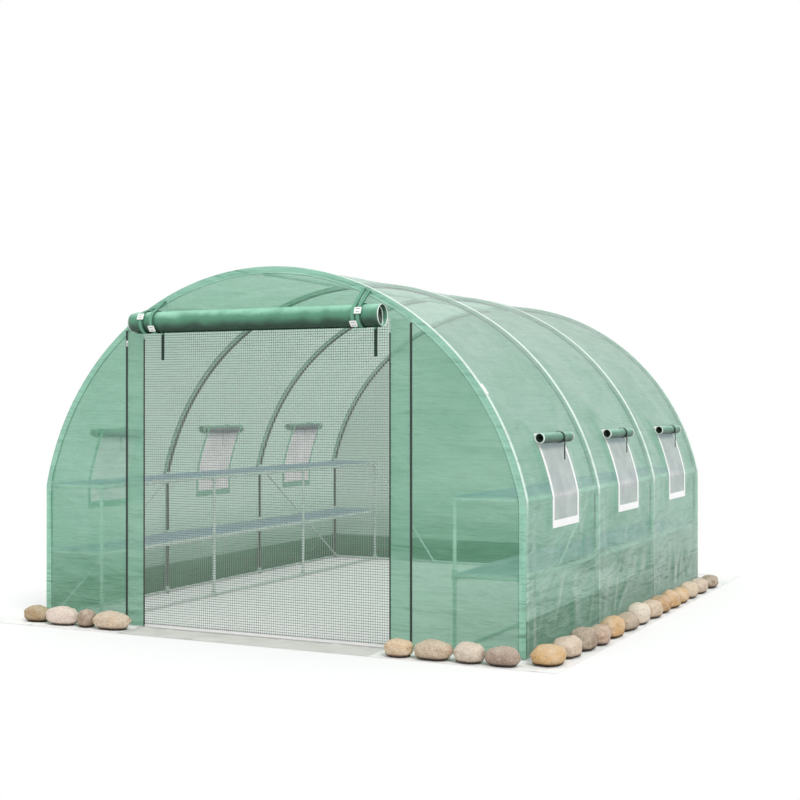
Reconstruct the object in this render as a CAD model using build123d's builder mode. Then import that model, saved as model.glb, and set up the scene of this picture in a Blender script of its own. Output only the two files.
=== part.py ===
from build123d import *
from functools import cache
import math
import os

os.makedirs("parts", exist_ok=True)

# The polytunnel stands on z = 0 with its door end at -Y. All sizes are in millimetres.

# Cover
width = 3000            # outside of the film, from side to side
length = 3500           # outside of the film, from end to end
height = 2000           # outside of the film at the ridge
shoulder = 780          # top of the upright side, where the arch begins
film = 3
skirt_width = 250       # flap of the cover that lies on the ground

# Frame
hoop_tube = 25
rail_tube = 19
brace_tube = 13
fitting_wall = 2.5      # wall of the sleeves on hoops and rails
bar_wall = 3.1          # wall of the sleeves on cross bars
post_wall = 4           # wall of the sleeves on posts
fitting_reach = 32      # from the centre of a fitting to the mouth of each sleeve
film_gap = 0.6          # between the fittings and the film stretched over them
gap = 0.3               # between pieces that rest on or slip into each other
hoop_slip = 0.6         # play of a hoop in its sleeve
plug_turn = 0.2         # degrees of the arch left out at the top of each leg
bar_slip = 0.5          # play of a cross bar in its sleeve
post_slip = 0.8         # play of a post in its sleeve
end_gap = 0.5           # from the end of a tube to the tube that it meets
bays = 3                # spaces between hoops
shelf_depth = 372       # from the hoop legs to the inner posts
lower_shelf = 390
net = 3                 # shelf netting
rear_brace_foot = 577   # foot of each rear brace, from the middle

# Door end
door_offset = -20       # the door sits this far to the left of the middle
mesh_width = 1550
door_width = 1790       # between the two outer zips
door_top = 1700
mesh = 2
zip_width = 12
zip_depth = 2
zip_margin = 24         # from the top of a zip to what is above it
mesh_zip_width = 7

# Rolled-up door
roll_size = 124
roll_left = -824
roll_right = 746
roll_height = 1712
strap_width = 26
strap = 2
strap_places = (-726, -656, 604, 634)
strap_slope = 12        # how far below the hoop line a strap is sewn on
buckle_width = 34
buckle_length = 26
buckle_depth = 7
buckle_angles = (155, 215, 220, 160)
tail_places = (-620, 705)
tail_length = 150
tail_width = 18

# Windows, one in each bay on both sides
window_width = 370
window_sill = 655
window_head = 1092
binding = 1.5           # white tape sewn round each window
binding_side = 25
binding_bottom = 40
binding_top = 12
screen = 1.2
window_roll_size = 58
window_roll_length = 490
window_roll_height = 1080
window_strap_width = 16
window_strap_shift = 70
window_tail = 120

# Clip that holds the film on the front hoop
clip_height = 1330
clip_length = 65
clip_width = 22
clip_depth = 6
clip_setback = 24       # from the front edge of the cover

# Stones laid on the skirt to hold it down
stone_round = 44        # rounding of a stone's corners
# Rear stones, with sizes that take turns
rear_lengths = (215, 185, 230, 195, 180, 220, 200)
rear_widths = (130, 120, 126, 116)
rear_heights = (120, 110, 116, 106)
rear_stones = 12
rear_line = 140         # from the film to the middle of the rear stones
# Side stones: from the end of the tunnel, from the film, length, width, height
side_stones = (
    (-55, 137, 206, 166, 114),
    (172, 154, 226, 138, 122),
    (388, 163, 196, 142, 138),
    (600, 185, 220, 128, 118),
    (826, 183, 222, 132, 134),
    (1074, 186, 236, 126, 114),
    (1322, 183, 228, 132, 138),
    (1568, 187, 230, 124, 120),
    (1786, 184, 190, 130, 121),
    (1998, 190, 218, 118, 127),
    (2240, 188, 230, 122, 112),
    (2472, 186, 210, 126, 124),
    (2726, 189, 240, 120, 110),
    (3030, 189, 236, 120, 94),
)
# Front stones: from the middle of the tunnel, from the film, length, width, height
front_stones = (
    (-1460, 123, 190, 120, 111),
    (-1249, 151, 225, 130, 126),
    (-1075, 156, 104, 104, 119),
    (-899, 159, 240, 125, 120),
    (895, 186, 152, 126, 104),
    (1087, 188, 208, 122, 116),
    (1275, 188, 160, 122, 122),
    (1452, 188, 186, 122, 112),
)

# Worked out from the sizes above
half_width = width / 2
half_length = length / 2
arch_centre = (height**2 - shoulder**2 - half_width**2) / (2 * (height - shoulder))
arch_radius = height - arch_centre
floor = film            # top of the skirt, where the upright film starts
hoop_fitting = hoop_tube / 2 + fitting_wall
rail_fitting = rail_tube / 2 + fitting_wall
bar_fitting = rail_tube / 2 + bar_wall
post_fitting = rail_tube / 2 + post_wall
frame_inset = film + film_gap + hoop_fitting
leg_x = half_width - frame_inset
post_x = leg_x - shelf_depth
hoop_radius = arch_radius - frame_inset
shoulder_lean = math.asin((shoulder - arch_centre) / arch_radius)
kink_height = arch_centre + math.sqrt(hoop_radius**2 - leg_x**2)
upper_shelf = kink_height
end_plane = half_length - frame_inset
hoop_planes = [-end_plane + 2 * end_plane * i / bays for i in range(bays + 1)]
bay_centres = [(a + b) / 2 for a, b in zip(hoop_planes, hoop_planes[1:])]
base_rail = post_fitting
leg_clear = hoop_tube / 2 + end_gap
bar_clear = leg_clear + rail_tube / 2 * math.tan(shoulder_lean)
post_clear = rail_tube / 2 + end_gap
post_top = upper_shelf + rail_tube / 2
zip_left = door_offset - door_width / 2
zip_right = door_offset + door_width / 2
mesh_left = door_offset - mesh_width / 2
mesh_right = door_offset + mesh_width / 2
roll_radius = roll_size / 2
roll_y = -half_length - gap - strap - gap - roll_radius
brace_x = leg_x - hoop_fitting - brace_tube / 2 - 0.5
window_tail_middle = window_roll_height - window_tail / 2
clip_y = -half_length + clip_setback
rear_reach = half_width - rear_line
ridge_height = arch_centre + hoop_radius - hoop_tube / 2 - rail_tube / 2 - gap


up = (0, 0, 1)
down = (0, 0, -1)

# Outer and bore radius of each kind of sleeve
hoop_sleeve = (hoop_fitting, hoop_tube / 2 + hoop_slip)
post_sleeve = (post_fitting, rail_tube / 2 + post_slip)
bar_sleeve = (bar_fitting, rail_tube / 2 + bar_slip)
rail_sleeve = (rail_fitting, rail_tube / 2 + gap)


def arch_height(x, inset=0):
    """Height of the arch at a distance x from the middle."""
    return arch_centre + math.sqrt((arch_radius - inset) ** 2 - x**2)


def tunnel_outline(inset):
    """Cross-section of the tunnel, offset inwards by inset."""
    half = half_width - inset
    corner = arch_height(half, inset)
    with BuildSketch() as outline:
        with BuildLine():
            Polyline((-half, corner), (-half, floor), (half, floor), (half, corner))
            ThreePointArc((half, corner), (0, height - inset), (-half, corner))
        make_face()
    return outline.sketch


def film_strip(outer, inner, side, low, high):
    """Cross-section of a strip of the side wall between two heights."""
    reach = 400
    with BuildSketch() as strip:
        add(tunnel_outline(outer))
        add(tunnel_outline(inner), mode=Mode.SUBTRACT)
        with Locations((side * half_width, (low + high) / 2)):
            Rectangle(reach, high - low, mode=Mode.INTERSECT)
    return strip.sketch


def across(y):
    """A plane across the tunnel, facing the door end."""
    return Plane(origin=(0, y, 0), x_dir=(1, 0, 0), z_dir=(0, -1, 0))


def rod(start, end, diameter):
    """A straight round bar between two points."""
    run = Vector(*end) - Vector(*start)
    with BuildPart() as bar:
        with BuildSketch(Plane(origin=start, z_dir=run)):
            Circle(diameter / 2)
        extrude(amount=run.length)
    return bar.part


@cache
def fitting_shape(sleeves, passages):
    """A pressed fitting with a sleeve for each tube, and bores where a tube only passes."""
    with BuildPart() as body:
        for direction, (outside, bore) in sleeves:
            with BuildSketch(Plane(origin=(0, 0, 0), z_dir=direction)):
                Circle(outside)
            extrude(amount=fitting_reach)
        for direction, (outside, bore) in sleeves + passages:
            with BuildSketch(Plane(origin=(0, 0, 0), z_dir=direction)):
                Circle(bore)
            extrude(amount=fitting_reach + 1, mode=Mode.SUBTRACT)
        if (down, hoop_sleeve) in sleeves and (up, hoop_sleeve) not in sleeves:
            Sphere(hoop_tube / 2 + gap, mode=Mode.SUBTRACT)
    return body.part


def fitting(point, sleeves, passages=()):
    """A fitting of this kind at a point of the frame."""
    return fitting_shape(tuple(sleeves), tuple(passages)).moved(Location(point))


def write(part, name):
    """Labels a piece and writes its file."""
    part.label = name
    export_step(part, f"parts/{name}.step")


def gather(pieces):
    """Gathers solids that don't touch into one part."""
    return Compound([solid for piece in pieces for solid in piece.solids()])


def gather_both_sides(pieces):
    """Gathers the solids of the left side with their mirror images on the right."""
    return gather([*pieces, *(piece.mirror(Plane.YZ) for piece in pieces)])


# Hoops: two legs, and an arch plugged between them inside the shoulder fittings
arch_turn = math.degrees(math.asin((kink_height - arch_centre) / hoop_radius)) + plug_turn
hoop_names = ("front", "middle_front", "middle_rear", "rear")
for name, y in zip(hoop_names, hoop_planes):
    centre = (0, y, arch_centre)
    start = Plane(origin=centre, x_dir=(1, 0, 0), z_dir=(0, -1, 0)).rotated((0, -arch_turn, 0))
    with BuildPart() as arch:
        with BuildSketch(Plane(origin=centre, x_dir=start.x_dir, z_dir=start.y_dir)):
            with Locations((hoop_radius, 0)):
                Circle(hoop_tube / 2)
        revolve(axis=Axis(centre, (0, -1, 0)), revolution_arc=180 - 2 * arch_turn)
    legs = [rod((x, y, 0), (x, y, kink_height - gap), hoop_tube) for x in (-leg_x, leg_x)]
    write(gather([arch.part, *legs]), f"hoop_{name}")

# Ridge tube under the hoops, with a cross clamp at each hoop
ridge_end = end_plane + rail_fitting
write(rod((0, -ridge_end, ridge_height), (0, ridge_end, ridge_height), rail_tube), "ridge_tube")
clamps = []
for y in hoop_planes:
    with BuildPart() as clamp:
        with BuildSketch(across(y + hoop_fitting)):
            with Locations((0, ridge_height)):
                Circle(rail_fitting)
            with Locations((0, ridge_height + rail_tube / 2)):
                Rectangle(2 * rail_fitting, rail_tube)
        extrude(amount=2 * hoop_fitting)
        with BuildSketch(across(y + hoop_fitting)):
            with Locations((0, ridge_height)):
                Circle(rail_tube / 2 + gap)
        extrude(amount=2 * hoop_fitting, mode=Mode.SUBTRACT)
        with BuildSketch(Plane.YZ.offset(-hoop_tube)):
            with Locations((y, arch_centre + hoop_radius)):
                Circle(hoop_tube / 2 + gap)
        extrude(amount=2 * hoop_tube, mode=Mode.SUBTRACT)
    clamps.append(clamp.part)
write(gather(clamps), "ridge_clamps")

def rail_runs(x, z, clear):
    """Tubes along Y in each bay, ending clear of the upright at each hoop plane."""
    runs = []
    for start, end in zip(hoop_planes, hoop_planes[1:]):
        runs.append(rod((x, start + clear, z), (x, end - clear, z), rail_tube))
    return runs


outer_rails = []
inner_rails = []
posts = []
for side, side_name in ((-1, "left"), (1, "right")):
    outer_rails += rail_runs(side * leg_x, base_rail, leg_clear)
    inner_rails += rail_runs(side * post_x, base_rail, post_clear)
    for y in hoop_planes:
        posts.append(rod((side * post_x, y, 0), (side * post_x, y, post_top), rail_tube))

    # Shelf frames: an inner and an outer rail, and a cross bar at each hoop plane
    for z, shelf_name in ((upper_shelf, "upper"), (lower_shelf, "lower")):
        bars = rail_runs(side * leg_x, z, leg_clear) + rail_runs(side * post_x, z, post_clear)
        for y in hoop_planes:
            inner_end = (side * (post_x + post_clear), y, z)
            outer_end = (side * (leg_x - bar_clear), y, z)
            bars.append(rod(inner_end, outer_end, rail_tube))
        write(gather(bars), f"shelf_frame_{side_name}_{shelf_name}")

        # Netting that lies on the frame and stops short of the legs and braces
        net_outer = brace_x - brace_tube / 2 - end_gap
        net_inner = post_x - rail_tube / 2 if z == upper_shelf else post_x + post_fitting + gap
        net_end = end_plane + rail_tube / 2
        with BuildPart() as deck:
            with BuildSketch(Plane.XY.offset(z + bar_fitting + gap)):
                with Locations((side * (net_outer + net_inner) / 2, 0)):
                    Rectangle(net_outer - net_inner, 2 * net_end)
            extrude(amount=net)
        write(deck.part, f"shelf_net_{side_name}_{shelf_name}")
write(gather(outer_rails), "base_rails_outer")
write(gather(inner_rails), "base_rails_inner")
write(gather(posts), "shelf_posts")

# Ground bars across both ends: corner to post, post to post, post to corner
bars = []
for y in (-end_plane, end_plane):
    bars.append(rod((-post_x + post_clear, y, base_rail), (post_x - post_clear, y, base_rail), rail_tube))
    for side in (-1, 1):
        inner_end = (side * (post_x + post_clear), y, base_rail)
        outer_end = (side * (leg_x - leg_clear), y, base_rail)
        bars.append(rod(inner_end, outer_end, rail_tube))
write(gather(bars), "base_bars")

# Fittings where the tubes meet, on the left side and mirrored on the right
outward = ((-1, 0, 0), bar_sleeve)
inward = ((1, 0, 0), bar_sleeve)
arch_start = ((math.sin(shoulder_lean), 0, math.cos(shoulder_lean)), hoop_sleeve)
shoulder_fittings = []
shelf_fittings = []
base_fittings = []
for index, y in enumerate(hoop_planes):
    along = []
    if index > 0:
        along.append(((0, -1, 0), rail_sleeve))
    if index < bays:
        along.append(((0, 1, 0), rail_sleeve))
    at_end = index in (0, bays)
    leg = (-leg_x, y)
    post = (-post_x, y)
    shoulder_sleeves = [(down, hoop_sleeve), arch_start, inward]
    shoulder_fittings.append(fitting((*leg, kink_height), shoulder_sleeves + along))
    post_sleeves = [(down, post_sleeve), outward]
    shelf_fittings.append(fitting((*post, upper_shelf), post_sleeves + along, [(up, post_sleeve)]))
    leg_sleeves = [(up, hoop_sleeve), (down, hoop_sleeve), inward]
    shelf_fittings.append(fitting((*leg, lower_shelf), leg_sleeves + along))
    through_sleeves = [(up, post_sleeve), (down, post_sleeve), outward]
    shelf_fittings.append(fitting((*post, lower_shelf), through_sleeves + along))
    corner_sleeves = [(up, hoop_sleeve)] + ([inward] if at_end else []) + along
    base_fittings.append(fitting((*leg, base_rail), corner_sleeves, [(down, hoop_sleeve)]))
    foot_sleeves = [(up, post_sleeve)] + ([inward, outward] if at_end else []) + along
    base_fittings.append(fitting((*post, base_rail), foot_sleeves, [(down, post_sleeve)]))
write(gather_both_sides(shoulder_fittings), "shoulder_fittings")
write(gather_both_sides(shelf_fittings), "shelf_fittings")


def brace(foot, top):
    """A thin brace whose ends stop at the sleeves at its foot and top."""
    run = (Vector(*top) - Vector(*foot)).normalized() * (bar_fitting + gap)
    start = Vector(*foot) + run
    end = Vector(*top) - run
    return rod(tuple(start), tuple(end), brace_tube)


# Side braces rise from the corner feet to the shoulders of the middle hoops
side_braces = []
for x in (-brace_x, brace_x):
    side_braces.append(brace((x, hoop_planes[0], base_rail), (x, hoop_planes[1], kink_height)))
    side_braces.append(brace((x, hoop_planes[bays], base_rail), (x, hoop_planes[bays - 1], kink_height)))
write(gather(side_braces), "side_braces")

# Rear braces run from the rear posts down to clips on the rear ground bar
rear_brace_y = end_plane - post_fitting - brace_tube / 2 - gap
foot_point = Vector(-rear_brace_foot, rear_brace_y, base_rail)
top_point = Vector(-post_x, rear_brace_y, upper_shelf)
top_end = top_point - (top_point - foot_point).normalized() * (rail_fitting + gap)
left_brace = rod(tuple(foot_point), tuple(top_end), brace_tube)
write(gather_both_sides([left_brace]), "rear_braces")
with BuildPart() as brace_clip:
    with BuildSketch(Plane.YZ.offset(-rear_brace_foot - fitting_reach / 2)):
        with Locations((end_plane, base_rail)):
            Circle(post_fitting)
            Circle(rail_tube / 2 + gap, mode=Mode.SUBTRACT)
    extrude(amount=fitting_reach)
write(gather_both_sides([*base_fittings, brace_clip.part]), "base_fittings")

# Cover: roof and sides in one sheet, with a window cut in each bay on both sides
past_film = 5
with BuildPart() as cover:
    with BuildSketch(across(half_length - film)):
        add(tunnel_outline(0))
        add(tunnel_outline(film), mode=Mode.SUBTRACT)
    extrude(amount=length - 2 * film)
    for side in (-1, 1):
        for y in bay_centres:
            with BuildSketch(across(y + window_width / 2)):
                add(film_strip(-past_film, film + past_film, side, window_sill, window_head))
            extrude(amount=window_width, mode=Mode.SUBTRACT)
write(cover.part, "cover")


def gable_sheet(y, left, right, low, high):
    """A flat sheet of an end wall between two sides and two heights."""
    with BuildPart() as sheet:
        with BuildSketch(across(y)):
            add(tunnel_outline(0))
            with Locations(((left + right) / 2, (low + high) / 2)):
                Rectangle(right - left, high - low, mode=Mode.INTERSECT)
        extrude(amount=film)
    return sheet.part


# End walls: the front is cut along the zips of its door
front_inner = -half_length + film
write(gable_sheet(front_inner, -half_width, zip_left, floor, height), "front_wall_left")
write(gable_sheet(front_inner, zip_right, half_width, floor, height), "front_wall_right")
write(gable_sheet(front_inner, zip_left, zip_right, door_top, height), "front_wall_top")
jambs = [
    gable_sheet(front_inner, zip_left, mesh_left, floor, door_top),
    gable_sheet(front_inner, mesh_right, zip_right, floor, door_top),
]
write(gather(jambs), "door_jambs")
write(gable_sheet(half_length, -half_width, half_width, floor, height), "rear_wall")

# Skirt: the flap of the cover that lies on the ground all round
skirt_x = half_width + skirt_width
skirt_y = half_length + skirt_width


def ground_sheet(left, right, front, rear):
    """A sheet lying on the ground."""
    with BuildPart() as sheet:
        with BuildSketch(Plane.XY):
            with Locations(((left + right) / 2, (front + rear) / 2)):
                Rectangle(right - left, rear - front)
        extrude(amount=film)
    return sheet.part


inner_x = half_width - film
inner_y = half_length - film
with BuildPart() as skirt:
    add(ground_sheet(-skirt_x, -inner_x, -inner_y, inner_y))
    add(ground_sheet(inner_x, skirt_x, -inner_y, inner_y))
    add(ground_sheet(-skirt_x, skirt_x, inner_y, skirt_y))
    add(ground_sheet(-skirt_x, mesh_left, -skirt_y, -inner_y))
    add(ground_sheet(mesh_right, skirt_x, -skirt_y, -inner_y))
write(skirt.part, "skirt")
write(ground_sheet(mesh_left, mesh_right, -skirt_y, -inner_y), "sill_flap")


def zip_strip(middle, strip_width, top):
    """A zip on the face of the front wall."""
    with BuildPart() as strip:
        with BuildSketch(across(-half_length)):
            with Locations((middle, (floor + top) / 2)):
                Rectangle(strip_width, top - floor)
        extrude(amount=zip_depth)
    return strip.part


# Mesh door in the doorway, with the zips of both doors
with BuildPart() as mesh_door:
    with BuildSketch(across(-half_length + film - 0.5)):
        with Locations((door_offset, (floor + door_top) / 2)):
            Rectangle(mesh_width - 2 * gap, door_top - floor - 2 * gap)
    extrude(amount=mesh)
write(mesh_door.part, "mesh_door")
zip_top = arch_height(max(-zip_left, zip_right)) - zip_margin
mesh_zip_top = roll_height - roll_radius - strap - zip_margin
zips = [zip_strip(x, zip_width, zip_top) for x in (zip_left, zip_right)]
zips += [zip_strip(x, mesh_zip_width, mesh_zip_top) for x in (mesh_left, mesh_right)]
write(gather(zips), "door_zips")

# Rolled-up door across the top of the doorway
with BuildPart() as door_roll:
    with BuildSketch(Plane.YZ.offset(roll_left)):
        with Locations((roll_y, roll_height)):
            Circle(roll_radius)
    extrude(amount=roll_right - roll_left)
write(door_roll.part, "door_roll")

# Straps sewn on near the hoop, pulled forward over the roll and round under it
loop_inner = roll_radius + gap
loop_outer = loop_inner + strap
straps = []
for x in strap_places:
    sewn_y = -half_length - gap
    sewn_z = arch_height(abs(x) + strap_width / 2) - strap_slope
    rise = Vector(sewn_y - roll_y, sewn_z - roll_height)
    turn = math.atan2(rise.Y, rise.X) + math.acos(loop_outer / rise.length)
    outward = Vector(math.cos(turn), math.sin(turn))
    along = Vector(outward.Y, -outward.X)
    middle = Vector(roll_y, roll_height)
    reach = math.sqrt(rise.length**2 - loop_outer**2)
    corners = [
        middle + outward * loop_outer,
        middle + outward * loop_outer + along * reach,
        middle + outward * loop_inner + along * (reach - strap),
        middle + outward * loop_inner,
    ]
    with BuildPart() as tie:
        with BuildSketch(Plane.YZ.offset(x - strap_width / 2)):
            with Locations((roll_y, roll_height)):
                Circle(loop_outer)
            with BuildLine():
                Polyline(*[(corner.X, corner.Y) for corner in corners], close=True)
            make_face()
            with Locations((roll_y, roll_height)):
                Circle(loop_inner, mode=Mode.SUBTRACT)
        extrude(amount=strap_width)
    straps.append(tie.part)

# Loose strap ends that hang from the underside of the roll
for x in tail_places:
    with BuildPart() as tail:
        with BuildSketch(Plane.XY.offset(roll_height - roll_radius - gap)):
            with Locations((x, roll_y)):
                Rectangle(tail_width, strap)
        extrude(amount=-tail_length)
    straps.append(tail.part)
write(gather(straps), "roll_straps")

# Buckles on the straps, in front of and under the roll
buckles = []
for x, angle in zip(strap_places, buckle_angles):
    turn = math.radians(angle)
    outward = Vector(0, math.cos(turn), math.sin(turn))
    seat = Vector(x, roll_y, roll_height) + outward * (loop_outer + gap)
    with BuildPart() as buckle:
        with BuildSketch(Plane(origin=seat, x_dir=(1, 0, 0), z_dir=outward)):
            Rectangle(buckle_width, buckle_length)
        extrude(amount=buckle_depth)
    buckles.append(buckle.part)
write(gather(buckles), "strap_buckles")

# Windows: a screen in each opening, white tape round it, and the flap rolled up above
flap_radius = window_roll_size / 2
flap_reach = arch_radius + gap + binding + gap + flap_radius
flap_x = math.sqrt(flap_reach**2 - (window_roll_height - arch_centre) ** 2)
screen_inset = (film - screen) / 2
screens = []
tapes = []
flaps = []
ties = []
for side in (-1, 1):
    for y in bay_centres:
        with BuildPart() as window_screen:
            with BuildSketch(across(y + window_width / 2 - gap)):
                low = window_sill + gap
                high = window_head - gap
                add(film_strip(screen_inset, screen_inset + screen, side, low, high))
            extrude(amount=window_width - 2 * gap)
        screens.append(window_screen.part)
        with BuildPart() as tape:
            with BuildSketch(across(y + window_width / 2 + binding_side)):
                low = window_sill - binding_bottom
                high = window_head + binding_top
                add(film_strip(-gap - binding, -gap, side, low, high))
            extrude(amount=window_width + 2 * binding_side)
            with BuildSketch(across(y + window_width / 2)):
                add(film_strip(-past_film, film, side, window_sill, window_head))
            extrude(amount=window_width, mode=Mode.SUBTRACT)
        tapes.append(tape.part)
        with BuildPart() as flap:
            with BuildSketch(across(y + window_roll_length / 2)):
                with Locations((side * flap_x, window_roll_height)):
                    Circle(flap_radius)
            extrude(amount=window_roll_length)
        flaps.append(flap.part)
        with BuildPart() as tie:
            with BuildSketch(across(y + window_strap_shift + window_strap_width / 2)):
                with Locations((side * flap_x, window_roll_height)):
                    Circle(flap_radius + gap + strap)
                with Locations((side * (flap_x + flap_radius + gap + strap / 2), window_tail_middle)):
                    Rectangle(strap, window_tail)
                with Locations((side * flap_x, window_roll_height)):
                    Circle(flap_radius + gap, mode=Mode.SUBTRACT)
            extrude(amount=window_strap_width)
        ties.append(tie.part)
write(gather(screens), "window_screens")
write(gather(tapes), "window_tapes")
write(gather(flaps), "window_flaps")
write(gather(ties), "window_ties")

# Clip on the outside of the front hoop
clip_turn = math.asin((clip_height - arch_centre) / arch_radius)
radial = Vector(math.cos(clip_turn), 0, math.sin(clip_turn))
clip_seat = Vector(0, clip_y, arch_centre) + radial * (arch_radius + gap)
with BuildPart() as cover_clip:
    with BuildSketch(Plane(origin=clip_seat, x_dir=(radial.Z, 0, -radial.X), z_dir=radial)):
        SlotOverall(clip_length, clip_width)
    extrude(amount=clip_depth)
write(cover_clip.part, "cover_clip")


def stone(x, y, turn, stone_length, stone_width, stone_height):
    """A rounded stone standing on the skirt."""
    with BuildPart(Location((x, y, floor), (0, 0, turn))) as pebble:
        Box(stone_length, stone_width, stone_height, align=(Align.CENTER, Align.CENTER, Align.MIN))
        fillet(pebble.edges(), stone_round)
    return pebble.part


# The left row is the right row turned half round
left_row = []
right_row = []
for along, out, stone_length, stone_width, stone_height in side_stones:
    x = half_width + out
    y = -half_length + along
    right_row.append(stone(x, y, 90, stone_length, stone_width, stone_height))
    left_row.append(stone(-x, -y, 90, stone_length, stone_width, stone_height))
write(gather(left_row), "stones_left")
write(gather(right_row), "stones_right")

rear_row = []
rear_step = 2 * rear_reach / (rear_stones - 1)
for index in range(rear_stones):
    x = -rear_reach + rear_step * index
    stone_length = rear_lengths[index % len(rear_lengths)]
    stone_width = rear_widths[index % len(rear_widths)]
    stone_height = rear_heights[index % len(rear_heights)]
    rear_row.append(stone(x, half_length + rear_line, 0, stone_length, stone_width, stone_height))
write(gather(rear_row), "stones_rear")

front_row = []
for x, out, stone_length, stone_width, stone_height in front_stones:
    front_row.append(stone(x, -half_length - out, 0, stone_length, stone_width, stone_height))
write(gather(front_row), "stones_front")
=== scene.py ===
import math

import bmesh
import bpy
import numpy as np
from mathutils import Matrix, Vector


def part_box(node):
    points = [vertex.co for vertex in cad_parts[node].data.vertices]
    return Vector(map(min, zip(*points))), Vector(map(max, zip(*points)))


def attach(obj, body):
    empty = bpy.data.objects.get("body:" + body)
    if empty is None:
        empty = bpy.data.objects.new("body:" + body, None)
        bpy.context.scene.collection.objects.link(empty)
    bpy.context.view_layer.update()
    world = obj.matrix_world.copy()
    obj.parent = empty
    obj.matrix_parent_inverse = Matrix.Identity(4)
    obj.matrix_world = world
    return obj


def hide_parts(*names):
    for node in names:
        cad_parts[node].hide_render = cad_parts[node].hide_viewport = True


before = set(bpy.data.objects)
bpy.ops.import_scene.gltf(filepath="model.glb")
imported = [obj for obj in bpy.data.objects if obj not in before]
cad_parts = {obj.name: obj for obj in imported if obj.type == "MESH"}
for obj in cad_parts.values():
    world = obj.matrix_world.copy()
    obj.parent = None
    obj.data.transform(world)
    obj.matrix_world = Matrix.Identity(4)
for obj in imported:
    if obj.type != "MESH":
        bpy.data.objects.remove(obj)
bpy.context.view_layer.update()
scene = bpy.context.scene


def lattice(*axes):
    return np.meshgrid(*axes, indexing="ij")


# ------ sizes, in metres
def middle(node, axis):
    low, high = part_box(node)
    return (low[axis] + high[axis]) / 2


FILM = 0.003            # thickness of the film in CAD
GAP = 0.0003            # left round the mesh door and the screens in CAD
SHOULDER = 0.78         # height where a hoop's leg ends and its arch starts
HALF_W, _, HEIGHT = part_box("cover")[1]
HALF_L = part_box("rear_wall")[1].y
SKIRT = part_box("skirt")[1].x - HALF_W
ARCH_Z = (HEIGHT**2 - SHOULDER**2 - HALF_W**2) / (2 * (HEIGHT - SHOULDER))
ARCH_R = HEIGHT - ARCH_Z
HOOPS = tuple(middle("hoop_" + name, 1) for name in ("front", "middle_front", "middle_rear", "rear"))
BAYS = tuple((a + b) / 2 for a, b in zip(HOOPS, HOOPS[1:]))
BAY_NAMES = ("front", "middle", "rear")
BAY = HOOPS[1] - HOOPS[0]
ZIP_L, ZIP_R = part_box("door_jambs")[0].x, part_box("door_jambs")[1].x
MESH_L, MESH_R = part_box("mesh_door")[0].x - GAP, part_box("mesh_door")[1].x + GAP
DOOR_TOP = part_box("front_wall_top")[0].z
WIN_SILL, WIN_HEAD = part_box("window_screens")[0].z - GAP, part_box("window_screens")[1].z + GAP
WIN_HALF = 0.185
SHELVES = (middle("shelf_frame_left_lower", 2), middle("shelf_frame_left_upper", 2))
BASE_RAIL = middle("base_rails_outer", 2)
RAIL_RADIUS = 0.0095
# Middle of the film, measured along its girth from its left foot
RM = ARCH_R - FILM / 2
XM = HALF_W - FILM / 2
KINK_Z = ARCH_Z + math.sqrt(RM**2 - XM**2)
LEG = KINK_Z - FILM
PHI = math.asin((KINK_Z - ARCH_Z) / RM)
ARC = RM * (math.pi - 2 * PHI)
TOTAL = ARC + 2 * LEG


def profile(s):
    """Point and outward direction of the middle of the film at a distance s along it from its left foot."""
    s = np.asarray(s, float)
    turn = math.pi - PHI - (s - LEG) / RM
    x, z = RM * np.cos(turn), ARCH_Z + RM * np.sin(turn)
    nx, nz = np.cos(turn), np.sin(turn)
    for leg, side, height in ((s < LEG, -1.0, FILM + s), (s > LEG + ARC, 1.0, FILM + TOTAL - s)):
        x, z = np.where(leg, side * XM, x), np.where(leg, height, z)
        nx, nz = np.where(leg, side, nx), np.where(leg, 0.0, nz)
    return x, z, nx, nz


def s_at(z):
    """Distance along the film from its foot to a height."""
    if z <= KINK_Z:
        return z - FILM
    return LEG + RM * (math.asin((z - ARCH_Z) / RM) - PHI)


SILL_S, HEAD_S = s_at(WIN_SILL), s_at(WIN_HEAD)


# ------ node helper
def lin(r, g, b):
    """A colour given in display values from 0 to 255."""
    c = [x / 255 for x in (r, g, b)]
    return tuple(x / 12.92 if x <= 0.04045 else ((x + 0.055) / 1.055) ** 2.4 for x in c) + (1.0,)


def shade(colour, by):
    return tuple(min(1.0, c * by) for c in colour[:3]) + (1.0,)


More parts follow.
